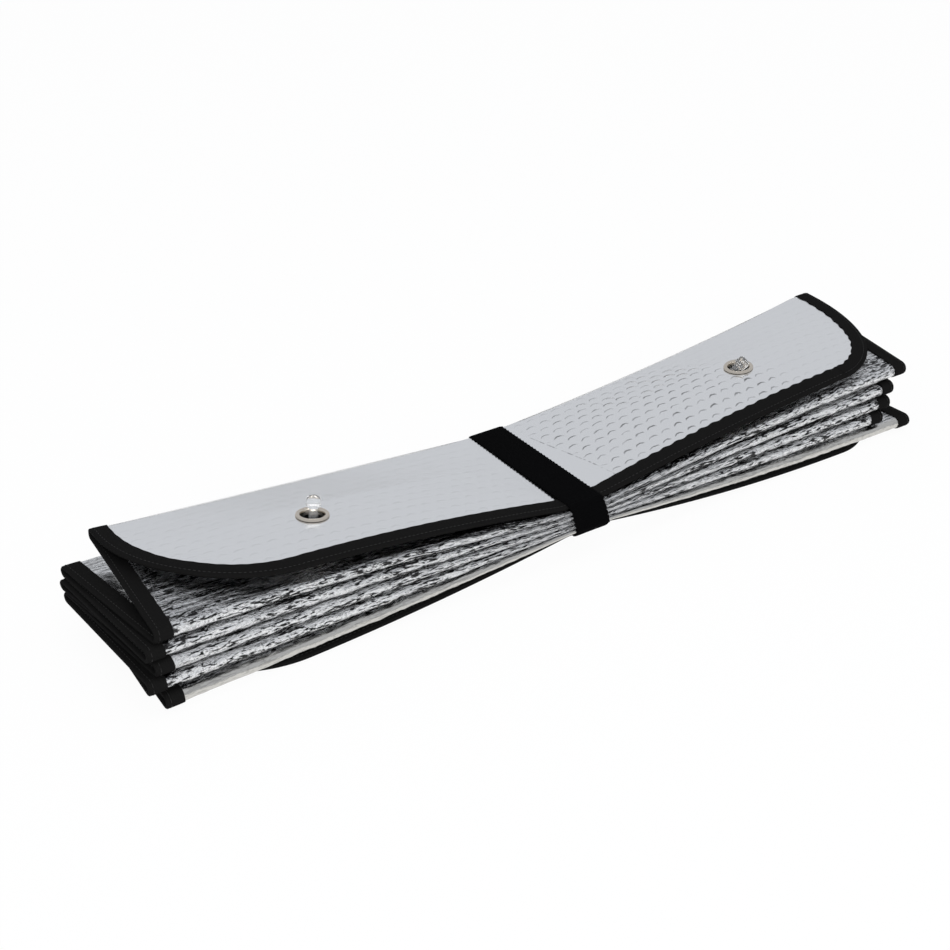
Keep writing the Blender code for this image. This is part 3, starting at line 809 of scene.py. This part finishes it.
def even_loop(points, step):
    """A closed line of points, taken again at an even step, as (points, outward normals, distances)."""
    line = np.array([tuple(point) for point in points])
    closed = np.vstack([line, line[:1]])
    at = np.concatenate([[0.0], np.cumsum(np.linalg.norm(np.diff(closed, axis=0), axis=1))])
    count = round(at[-1] / step)
    places = np.linspace(0.0, at[-1], count, endpoint=False)
    even = np.stack([np.interp(places, at, closed[:, axis]) for axis in (0, 1)], axis=1)
    tangent = np.roll(even, -1, axis=0) - np.roll(even, 1, axis=0)
    tangent /= np.linalg.norm(tangent, axis=1, keepdims=True)
    normal = np.stack([tangent[:, 1], -tangent[:, 0]], axis=1)
    centre = even.mean(axis=0)
    if np.sum(normal * (even - centre)) < 0:
        normal = -normal
    return even, normal, places


def make_strap(material):
    """The ribbed elastic band round the middle of the pack."""
    loop = pack_outline(LENGTH / 2 + STRAP_OFFSET, SEAT)
    even, normal, at = even_loop(loop, RIB / 4)
    rng = np.random.default_rng(4)
    points, places = [], []
    for index in range(len(even)):
        scallop = SCALLOP_DEPTH * math.sin(at[index] / SCALLOP * math.tau)
        rib = RIB_HEIGHT / 2 * (1 - math.cos(at[index] / RIB * math.tau))
        for outside in (True, False):
            for step in range(STRAP_COLUMNS + 1):
                t = step / STRAP_COLUMNS if outside else 1 - step / STRAP_COLUMNS
                x = lerp(-STRAP_WIDTH / 2, STRAP_WIDTH / 2, t) + (scallop if t < 0.02 or t > 0.98 else 0.0)
                edge = min(1.0, min(t, 1 - t) / 0.03)
                over = (STRAP - RIB_ROOM) * (0.6 + 0.4 * edge) + rib * rng.uniform(0.7, 1.0)
                y, z = even[index] + normal[index] * (over if outside else 0.00005)
                points.append((STRAP_OFFSET + x, y, z))
                places.append((x, at[index]))
    faces = ring_faces(len(even), 2 * (STRAP_COLUMNS + 1))
    strap = new_piece("strap", points, faces, material, ["elastic_strap"], 60)
    set_uv(strap, places)
    outward(strap)
    return strap


def turned(name, profile, place, material, replaced, closed=False):
    """A profile of (radius, height) points turned about its own Z axis."""
    points = [(radius, 0.0, height) for radius, height in profile]
    edges = [(index, index + 1) for index in range(len(points) - 1)]
    if closed:
        edges.append((len(points) - 1, 0))
    mesh = bpy.data.meshes.new(name)
    mesh.from_pydata(points, edges, [])
    piece = add_object(name, mesh)
    piece.matrix_world = Matrix.Translation(SHIFT) @ place
    screw = piece.modifiers.new("turn", "SCREW")
    screw.steps = ROUND
    screw.render_steps = ROUND
    screw.use_merge_vertices = True
    screw.merge_threshold = 0.00001
    apply_modifiers(piece)
    outward(piece)
    return finish_piece(piece, material, replaced, 40)


def rounded(profile, rounds):
    """Cuts the corners of an open profile, so that it runs smoothly."""
    for _ in range(rounds):
        cut = [profile[0]]
        for (r0, z0), (r1, z1) in zip(profile, profile[1:]):
            cut.append((lerp(r0, r1, 0.25), lerp(z0, z1, 0.25)))
            cut.append((lerp(r0, r1, 0.75), lerp(z0, z1, 0.75)))
        cut.append(profile[-1])
        profile = cut
    return profile


def make_eyelet(word, place, material):
    bore = EYELET_BORE / 2
    flange = EYELET_FLANGE / 2
    metal = EYELET_METAL
    top = SHEET / 2 + SEAT
    foot = -(SHEET / 2 + 2 * SEAT + WASHER)
    width = flange - bore
    outer = [
        (flange - metal, top),
        (flange, top + 0.2 * metal),
        (flange - 0.12 * width, top + metal + 0.2 * width),
        (flange - 0.5 * width, top + metal + 0.34 * width),
        (bore + 0.15 * width, top + metal + 0.2 * width),
        (bore, top - 0.15 * width),
        (bore, foot + 0.15 * width),
        (bore + 0.12 * width, foot - 0.1 * width - metal),
        (bore + 0.48 * width, foot - 0.1 * width - metal),
    ]
    inner = [
        (bore + 0.5 * width, foot - 0.1 * width),
        (bore + 0.2 * width, foot),
        (bore + metal, foot + 0.2 * width),
        (bore + metal, top - 0.15 * width),
        (bore + 0.3 * width, top + 0.12 * width),
        (flange - 0.5 * width, top + 0.3 * width),
    ]
    profile = rounded(outer, 2) + rounded(inner, 1)
    return turned(f"rim_{word}", profile, place, material, [f"eyelet_{word}"], True)


def make_washer(word, place, material):
    inner = EYELET_BORE / 2 + EYELET_METAL + SEAT
    outer = inner + WASHER_WIDTH
    top = -(SHEET / 2 + SEAT)
    soft = WASHER * 0.3
    profile = [
        (outer - soft, top),
        (outer, top - soft),
        (outer, top - WASHER + soft),
        (outer - soft, top - WASHER),
        (inner + soft, top - WASHER),
        (inner, top - WASHER + soft),
        (inner, top - soft),
        (inner + soft, top),
    ]
    return turned(f"ring_{word}", profile, place, material, [f"washer_{word}"], True)


def cup_profile():
    rim = CUP_DIAMETER / 2
    neck = NECK_DIAMETER / 2
    knob = KNOB_DIAMETER / 2
    under = CUP_DEPTH + NECK_LENGTH
    top = under + KNOB_LENGTH
    profile = [(0.0, top), (0.6 * knob, top - 0.04 * KNOB_LENGTH), (0.92 * knob, top - 0.16 * KNOB_LENGTH)]
    profile += [(knob, top - 0.35 * KNOB_LENGTH), (knob, under + 0.12 * KNOB_LENGTH), (0.9 * knob, under)]
    shoulder = CUP_DEPTH + neck / 2
    profile += [(neck, lerp(under, shoulder, step / 5)) for step in range(6)]
    profile += [(1.3 * neck, CUP_DEPTH - 0.1 * CUP_WALL), (0.5 * rim, 0.8 * CUP_DEPTH)]
    profile += [(0.8 * rim, 0.45 * CUP_DEPTH), (rim, 0.1 * CUP_DEPTH), (0.985 * rim, 0.0)]
    hollow = CUP_DEPTH - CUP_WALL
    profile += [(0.75 * rim, 0.35 * hollow), (0.4 * rim, 0.8 * hollow), (0.0, hollow)]
    return rounded(profile, 2)


def bend_neck(mesh, bend, azimuth):
    start = CUP_DEPTH + NECK_DIAMETER / 4
    stop = CUP_DEPTH + NECK_LENGTH
    radius = (stop - start) / bend
    turn = Matrix.Rotation(azimuth, 3, "Z")
    for vertex in mesh.vertices:
        point = turn.inverted() @ vertex.co
        if point.z <= start:
            continue
        angle = min(point.z - start, stop - start) / radius
        beyond = max(point.z - stop, 0.0)
        arm = radius - point.x
        x = radius - arm * math.cos(angle) + beyond * math.sin(angle)
        z = start + arm * math.sin(angle) + beyond * math.cos(angle)
        vertex.co = turn @ Vector((x, point.y, z))


def make_cup(word, side, material):
    along = eyelet_along(side)
    over = middle_points(np.array([EYELET_INSET]), np.array([along]))[0]
    under, lengthwise, normal = film_frame(2 * EDGE_PANEL - EYELET_INSET, along, EYELET_SEAT)
    up = -normal
    rotation = Matrix((lengthwise, up.cross(lengthwise), up)).transposed().to_4x4()
    shift = RIGHT_CUP_SHIFT if side > 0 else Vector((0, 0, 0))
    base = Vector((over[0], over[1], under.z)) + shift + up * (SHEET / 2 + SEAT)
    place = Matrix.Translation(base) @ rotation
    cup = turned(f"cup_{word}", cup_profile(), place, material, [f"suction_cup_{word}"])
    if side > 0:
        bend_neck(cup.data, RIGHT_NECK_BEND, RIGHT_NECK_AZIMUTH)
    return cup


# Materials.


class Nodes:
    """A node tree, with short calls to add and join nodes."""

    def __init__(self, tree):
        self.tree = tree

    def add(self, kind, settings=None, **inputs):
        node = self.tree.nodes.new("ShaderNode" + kind)
        for key, value in (settings or {}).items():
            setattr(node, key, value)
        for key, value in inputs.items():
            self.put(node.inputs[key.replace("_", " ")], value)
        return node

    def put(self, socket, value):
        if isinstance(value, bpy.types.NodeSocket):
            self.tree.links.new(value, socket)
        else:
            socket.default_value = value

    def math(self, operation, *values):
        node = self.add("Math", {"operation": operation})
        for socket, value in zip(node.inputs, values):
            self.put(socket, value)
        return node.outputs[0]

    def noise_at(self, place, scale, detail, **more):
        return self.add("TexNoise", Vector=place, Scale=scale, Detail=detail, **more).outputs["Fac"]

    def ramp(self, value, *stops):
        """Maps a value from a range to another, given as the ends of the first and those of the second."""
        node = self.add("MapRange", {"clamp": True})
        self.put(node.inputs["Value"], value)
        for name, number in zip(("From Min", "From Max", "To Min", "To Max"), stops):
            node.inputs[name].default_value = number
        return node.outputs[0]

    def blend(self, factor, first, second, kind="MIX"):
        """Mixes two colours, each a triple or a socket."""
        node = self.add("MixRGB", {"blend_type": kind}, Fac=factor)
        for socket, colour in ((node.inputs["Color1"], first), (node.inputs["Color2"], second)):
            self.put(socket, (*colour, 1) if isinstance(colour, tuple) else colour)
        return node.outputs["Color"]

    def bump(self, height, distance, strength=1.0, normal=None):
        node = self.add("Bump", Height=height, Distance=distance)
        self.put(node.inputs["Strength"], strength)
        if normal:
            self.put(node.inputs["Normal"], normal)
        return node.outputs[0]


class MaterialNodes(Nodes):
    """A new material's nodes, with values for its shader."""

    def __init__(self, name, **values):
        self.material = bpy.data.materials.new(name)
        self.material.use_nodes = True
        super().__init__(self.material.node_tree)
        self.shader = self.tree.nodes["Principled BSDF"]
        for key, value in values.items():
            self.shade(key.replace("_", " ").title().replace("Ior", "IOR"), value)

    def shade(self, name, value):
        self.put(self.shader.inputs[name], value)


def bubble_fields(nodes, place):
    """The height of the film's bubbles, and a mask of painted shade: a dark arc on the side of each bubble
    that lies over the fold, and a dark line along the crease beside the strap.
    """
    axes = nodes.add("SeparateXYZ", Vector=place).outputs
    wobble = nodes.noise_at(place, 260.0, 2.0)
    heights, creases = [], []
    for shift in (0, 1):
        along = nodes.math("SUBTRACT", axes["X"], shift * BUBBLE_PITCH / 2)
        along = nodes.math("WRAP", along, BUBBLE_PITCH / 2, -BUBBLE_PITCH / 2)
        across = nodes.math("SUBTRACT", axes["Y"], BUBBLE_START + shift * BUBBLE_ROWS)
        across = nodes.math("WRAP", across, BUBBLE_ROWS, -BUBBLE_ROWS)
        squares = nodes.math("MULTIPLY", along, along), nodes.math("MULTIPLY", across, across)
        distance = nodes.math("SQRT", nodes.math("ADD", *squares))
        distance = nodes.math("ADD", distance, nodes.ramp(wobble, 0.2, 0.8, -0.0007, 0.0007))
        heights.append(nodes.ramp(distance, BUBBLE_RADIUS, BUBBLE_RADIUS - BUBBLE_RIM, 0.0, 1.0))
        # Painted shade: a dark arc on the rim of each bubble, on its side over the fold.
        off_rim = nodes.math("ABSOLUTE", nodes.math("SUBTRACT", distance, BUBBLE_RADIUS))
        on_rim = nodes.ramp(off_rim, 0.0007, 0.0002, 0.0, 1.0)
        creases.append(nodes.math("MULTIPLY", on_rim, nodes.ramp(across, 0.0024, 0.0037, 0.0, 1.0)))
    uneven = nodes.noise_at(place, 75.0, 1.0)
    bubbly = nodes.add("Attribute", {"attribute_name": "bubbly"}).outputs["Fac"]
    strength = nodes.math("MULTIPLY", bubbly, nodes.ramp(uneven, 0.35, 0.62, 0.35, 1.0))
    height = nodes.math("MULTIPLY", nodes.math("MAXIMUM", *heights), strength)
    bubble_rim_shade = nodes.math("MULTIPLY", nodes.math("MAXIMUM", *creases), strength)

    # Painted shade: a dark line along the crease beside the strap.
    slant = nodes.math("MULTIPLY", axes["Y"], (CREASE_FRONT - CREASE_BACK) / EDGE_PANEL)
    off_line = nodes.math("SUBTRACT", nodes.math("ADD", axes["X"], slant), CREASE_FRONT)
    line = nodes.ramp(nodes.math("ABSOLUTE", off_line), 0.0007, 0.0002, 0.0, 0.7)
    line = nodes.math("MULTIPLY", line, nodes.ramp(wobble, 0.4, 0.6, 0.0, 1.0))
    line = nodes.math("MULTIPLY", line, nodes.ramp(axes["Y"], 0.085, 0.075, 0.0, 1.0))
    return height, nodes.math("MAXIMUM", bubble_rim_shade, line)


def foil_material():
    """Aluminised film: bubbles on the first panel, and creases and dents where it is crumpled, with painted
    shade in its creases and on the bubbles' rims.
    """
    nodes = MaterialNodes("foil_film", metallic=1.0)
    place = nodes.add("UVMap", {"uv_map": "flat"}).outputs["UV"]
    crumpled = nodes.add("Attribute", {"attribute_name": "crumpled"}).outputs["Fac"]
    lowest = nodes.add("Attribute", {"attribute_name": "lowest"}).outputs["Fac"]
    bubble, painted_rim_shade = bubble_fields(nodes, place)

    drawn_out = nodes.add("VectorMath", {"operation": "MULTIPLY"})
    nodes.put(drawn_out.inputs[0], place)
    nodes.put(drawn_out.inputs[1], (0.22, 1.0, 1.0))
    drawn = drawn_out.outputs[0]
    streaks = nodes.noise_at(drawn, 700.0, 3.0, Roughness=0.6)
    speckle = nodes.noise_at(place, 620.0, 3.0, Roughness=0.65)
    dents = nodes.add("TexVoronoi", {"feature": "F1"}, Vector=drawn, Scale=260.0).outputs["Distance"]
    clusters = nodes.noise_at(drawn, 120.0, 2.0)

    grain = nodes.noise_at(place, 260.0, 3.0, Roughness=0.55)
    normal = nodes.bump(grain, 0.00004)
    normal = nodes.bump(bubble, BUBBLE_HEIGHT, 1.0, normal)
    creased = nodes.math("ADD", nodes.math("ADD", streaks, dents), speckle)
    normal = nodes.bump(creased, 0.0011, crumpled, normal)
    nodes.shade("Normal", normal)

    # Painted shade: the base colour is darkened in dashes and pits where the film is crumpled, on the
    # bubbles' rims and along the crease beside the strap.
    painted_dash_shade = nodes.math("ADD", streaks, nodes.math("MULTIPLY", clusters, 0.5))
    painted_dash_shade = nodes.ramp(painted_dash_shade, 0.775, 0.82, 0.0, 1.0)
    painted_crease_shade = nodes.math("MAXIMUM", painted_dash_shade, nodes.ramp(speckle, 0.54, 0.68, 0.0, 0.5))
    painted_crease_shade = nodes.math("MULTIPLY", crumpled, painted_crease_shade)
    shade = nodes.math("SUBTRACT", 1.0, nodes.math("MULTIPLY", painted_rim_shade, 0.75))
    shade = nodes.math("MULTIPLY", shade, nodes.math("SUBTRACT", 1.0, nodes.math("MULTIPLY", painted_crease_shade, 0.95)))
    # Painted shade: the lowest front fold takes a darker colour.
    film = nodes.blend(lowest, FOIL_COLOUR, LOWEST_FOLD_SHADE_COLOUR)
    nodes.shade("Base Color", nodes.blend(1.0, film, shade, "MULTIPLY"))

    rough = nodes.noise_at(place, 60.0, 4.0)
    smear = nodes.ramp(rough, 0.3, 0.7, 0.20, 0.26)
    sharp = nodes.ramp(rough, 0.3, 0.7, 0.10, 0.18)
    mixed = nodes.math("ADD", smear, nodes.math("MULTIPLY", crumpled, nodes.math("SUBTRACT", sharp, smear)))
    nodes.shade("Roughness", mixed)
    return nodes.material


def cloth_material(name, colour, pitch_u, pitch_v, depth):
    """Black cloth with a weave over its UV map, in metres, and painted shade and highlight that follow the
    weave.
    """
    nodes = MaterialNodes(name, roughness=0.9, specular_ior_level=0.03)
    place = nodes.add("UVMap", {"uv_map": "flat"}).outputs["UV"]
    axes = nodes.add("SeparateXYZ", Vector=place).outputs
    wave_u = nodes.math("SINE", nodes.math("MULTIPLY", axes["X"], math.tau / pitch_u))
    wave_v = nodes.math("SINE", nodes.math("MULTIPLY", axes["Y"], math.tau / pitch_v))
    weave = nodes.math("MULTIPLY", wave_u, wave_v)
    fuzz = nodes.noise_at(place, 1800.0, 3.0)
    height = nodes.math("ADD", weave, nodes.math("MULTIPLY", fuzz, 0.8))
    nodes.shade("Normal", nodes.bump(height, depth, 0.8))
    # Colour follows the weave's height: painted shade in its hollows and painted highlight on its raised
    # threads, with some random tone from the fuzz.
    weave_hollow_shade, light = tuple(value * 0.6 for value in colour), tuple(value * 1.5 for value in colour)
    shade = nodes.blend(nodes.ramp(height, -0.5, 1.4, 0.0, 1.0), weave_hollow_shade, light)
    nodes.shade("Base Color", shade)
    return nodes.material


def thread_material():
    nodes = MaterialNodes("thread", roughness=0.6, specular_ior_level=0.3)
    place = nodes.add("TexCoord").outputs["Object"]
    wave = nodes.add("TexWave", {"bands_direction": "DIAGONAL"}, Vector=place, Scale=900.0, Distortion=1.0)
    twist = wave.outputs["Fac"]
    nodes.shade("Normal", nodes.bump(twist, 0.0001, 0.8))
    # Painted shade in the grooves of the twist and painted highlight on its ridges.
    nodes.shade("Base Color", nodes.blend(twist, THREAD_GROOVE_SHADE, THREAD_RIDGE_HIGHLIGHT))
    return nodes.material


def nickel_material():
    nodes = MaterialNodes("nickel_plate", base_color=(*NICKEL_COLOUR, 1), metallic=1.0)
    place = nodes.add("TexCoord").outputs["Object"]
    worn = nodes.noise_at(place, 900.0, 3.0)
    nodes.shade("Roughness", nodes.ramp(worn, 0.35, 0.7, 0.10, 0.28))
    nodes.shade("Normal", nodes.bump(worn, 0.00008, 0.5))
    return nodes.material


def clear_material():
    nodes = MaterialNodes("clear_pvc", base_color=(*CLEAR_COLOUR, 1), transmission_weight=0.88, ior=1.3)
    place = nodes.add("TexCoord").outputs["Object"]
    flow = nodes.noise_at(place, 400.0, 2.0)
    nodes.shade("Roughness", nodes.ramp(flow, 0.3, 0.7, 0.03, 0.12))
    nodes.shade("Normal", nodes.bump(flow, 0.0001, 0.3))
    return nodes.material


# Camera, floor and light.


def add_camera():
    azimuth, elevation = math.radians(CAMERA_AZIMUTH), math.radians(CAMERA_ELEVATION)
    roll = math.radians(CAMERA_ROLL)
    right = Vector((math.cos(azimuth), -math.sin(azimuth), 0))
    level = Vector((math.sin(azimuth), math.cos(azimuth), 0))
    forward = level * math.cos(elevation) - Vector((0, 0, math.sin(elevation)))
    up = right.cross(forward)
    x = right * math.cos(roll) + up * math.sin(roll)
    y = -right * math.sin(roll) + up * math.cos(roll)
    camera = add_object("camera", bpy.data.cameras.new("camera"))
    turn = Matrix((x, y, -forward)).transposed().to_4x4()
    camera.matrix_world = Matrix.Translation(Vector(CAMERA_PLACE) + SHIFT) @ turn
    camera.data.sensor_width = SENSOR
    camera.data.lens = SENSOR * FOCAL_PIXELS / PICTURE_PIXELS
    camera.data.clip_start = 0.01
    bpy.context.scene.camera = camera


def add_floor():
    bpy.ops.mesh.primitive_plane_add(size=8)
    floor = bpy.context.object
    floor.name = "floor"
    nodes = MaterialNodes("floor", base_color=(*FLOOR_COLOUR, 1), roughness=1.0, specular_ior_level=0.0)
    white = nodes.add("Emission", Color=WHITE, Strength=1.0)
    path = nodes.add("LightPath").outputs
    rays = nodes.math("MAXIMUM", path["Is Camera Ray"], path["Is Glossy Ray"])
    seen = nodes.math("MULTIPLY", rays, FLOOR_WHITE)
    mix = nodes.add("MixShader", Fac=seen)
    nodes.put(mix.inputs[1], nodes.shader.outputs[0])
    nodes.put(mix.inputs[2], white.outputs[0])
    nodes.put(nodes.tree.nodes["Material Output"].inputs["Surface"], mix.outputs[0])
    floor.data.materials.append(nodes.material)


def add_world():
    """A pale sky over a dark horizon for light and reflections, and white where the camera sees it."""
    world = bpy.data.worlds.new("world")
    bpy.context.scene.world = world
    world.use_nodes = True
    nodes = Nodes(world.node_tree)
    direction = nodes.add("TexCoord").outputs["Generated"]
    sky = nodes.add("ValToRGB", Fac=nodes.add("SeparateXYZ", Vector=direction).outputs["Z"])
    stops = ((HORIZON, HORIZON_COLOUR), (SKY, SKY_COLOUR))
    for element, (height, colour) in zip(sky.color_ramp.elements, stops):
        element.position = height
        element.color = (*colour, 1)
    background = nodes.tree.nodes["Background"]
    nodes.put(background.inputs["Color"], sky.outputs["Color"])
    white = nodes.add("Background", Color=WHITE)
    path = nodes.add("LightPath").outputs
    seen = nodes.math("MAXIMUM", path["Is Camera Ray"], path["Is Transmission Ray"])
    mix = nodes.add("MixShader", Fac=seen)
    nodes.put(mix.inputs[1], background.outputs[0])
    nodes.put(mix.inputs[2], white.outputs[0])
    nodes.put(nodes.tree.nodes["World Output"].inputs["Surface"], mix.outputs[0])


def add_lamp(name, place, size, energy):
    """A square lamp that shines on the middle of the part."""
    light = bpy.data.lights.new(name, "AREA")
    light.shape = "SQUARE"
    light.size = size
    light.energy = energy
    lamp = add_object(name, light)
    lamp.location = place
    lamp.rotation_euler = (-Vector(place)).to_track_quat("-Z", "Y").to_euler()
    lamp.visible_glossy = False


def main():
    scene = bpy.context.scene
    scene.view_settings.view_transform = "Standard"
    add_camera()
    add_floor()
    add_world()
    add_lamp("key", (-0.9, -1.6, 1.2), 0.8, 18)
    add_lamp("fill", (0.2, -0.4, 2.3), 1.4, 9)

    binding = make_binding(cloth_material("tape", TAPE_COLOUR, 0.0011, 0.0011, 0.00015))
    stitches = make_stitches(thread_material())
    make_foil(foil_material())
    make_strap(cloth_material("elastic", ELASTIC_COLOUR, 0.0008, RIB, 0.0002))
    nickel = nickel_material()
    clear = clear_material()
    for side, word in ((-1, "left"), (1, "right")):
        place = eyelet_place(side)
        make_eyelet(word, place, nickel)
        make_washer(word, place, nickel)
        make_cup(word, side, clear)


main()
